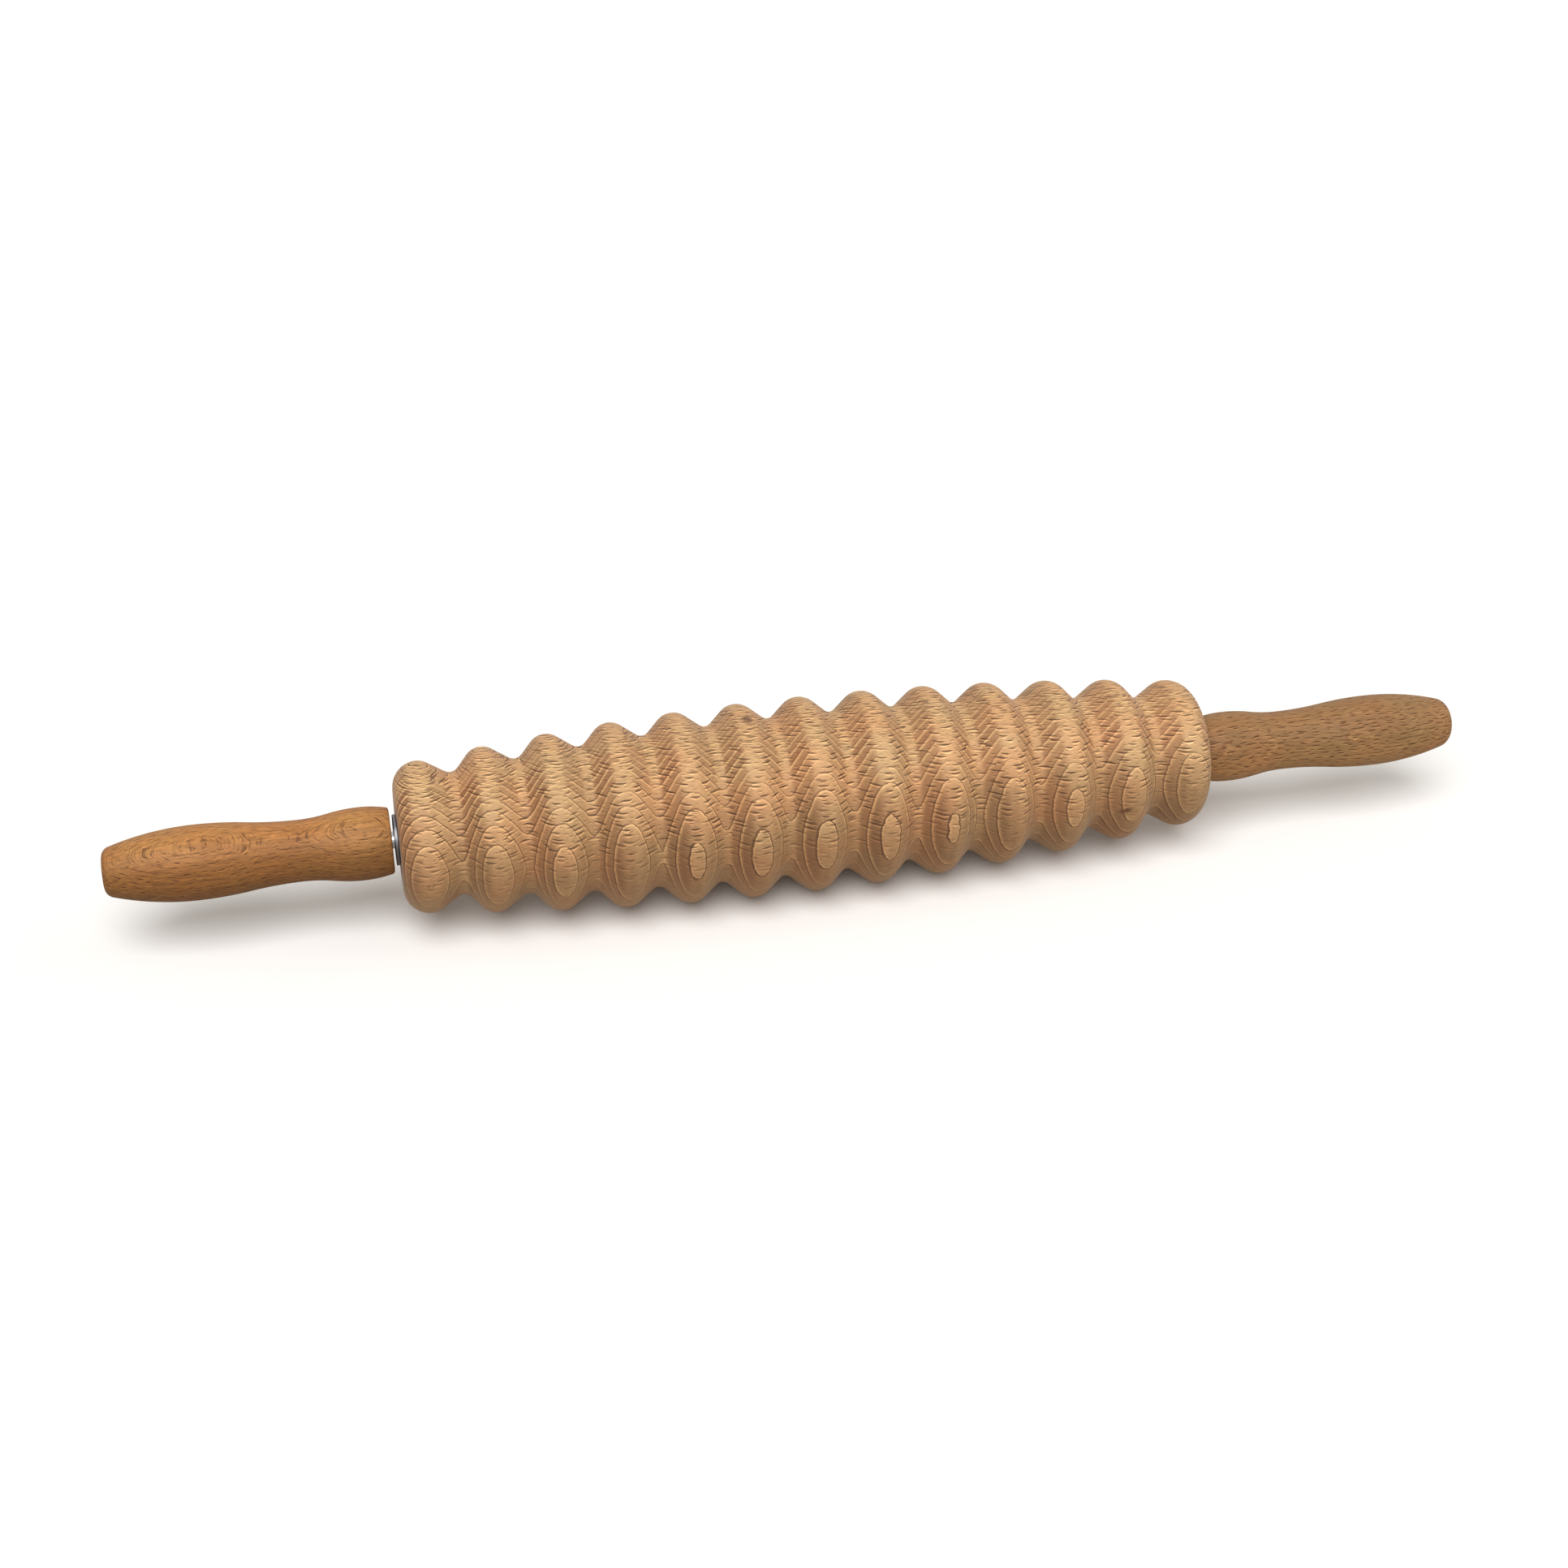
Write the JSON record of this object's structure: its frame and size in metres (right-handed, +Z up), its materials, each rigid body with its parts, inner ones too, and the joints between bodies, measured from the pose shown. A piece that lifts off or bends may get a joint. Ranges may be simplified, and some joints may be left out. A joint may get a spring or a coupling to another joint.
{
  "type": "wooden roller massager",
  "caption": "Ringed barrel roller of turned wood that spins on a steel rod between two turned wooden handles, for massage held in both hands.",
  "frame": {"origin": "on the rod's axis, halfway between the handles", "axes": "+X along the rod towards the right handle, +Z up"},
  "size_m": [0.423, 0.06, 0.06],
  "materials": {
    "raw_beech": "sanded, bare",
    "oiled_beech": "oiled, satin",
    "rod_steel": "drawn, bright",
    "washer_steel": "zinc plated",
    "bush_plastic": "matte",
    "insert_brass": "machined"
  },
  "bodies": {
    "handles_and_rod": {"axle_rod": "rod_steel", "handle_left": "oiled_beech", "handle_right": "oiled_beech", "handle_insert_left": "insert_brass", "handle_insert_right": "insert_brass"},
    "roller": {"roller": "raw_beech", "roller_bush_left": "bush_plastic", "roller_bush_right": "bush_plastic"},
    "washer_left": {"washer_left": "washer_steel"},
    "washer_right": {"washer_right": "washer_steel"}
  },
  "joints": [
    {"name": "roller_spin", "type": "hinge", "parent": "handles_and_rod", "child": "roller", "pos_m": [0, 0, 0], "axis": [1, 0, 0], "continuous": true},
    {"name": "washer_left_spin", "type": "hinge", "parent": "handles_and_rod", "child": "washer_left", "pos_m": [-0.126, 0, 0], "axis": [1, 0, 0], "continuous": true},
    {"name": "washer_right_spin", "type": "hinge", "parent": "handles_and_rod", "child": "washer_right", "pos_m": [0.126, 0, 0], "axis": [1, 0, 0], "continuous": true}
  ]
}
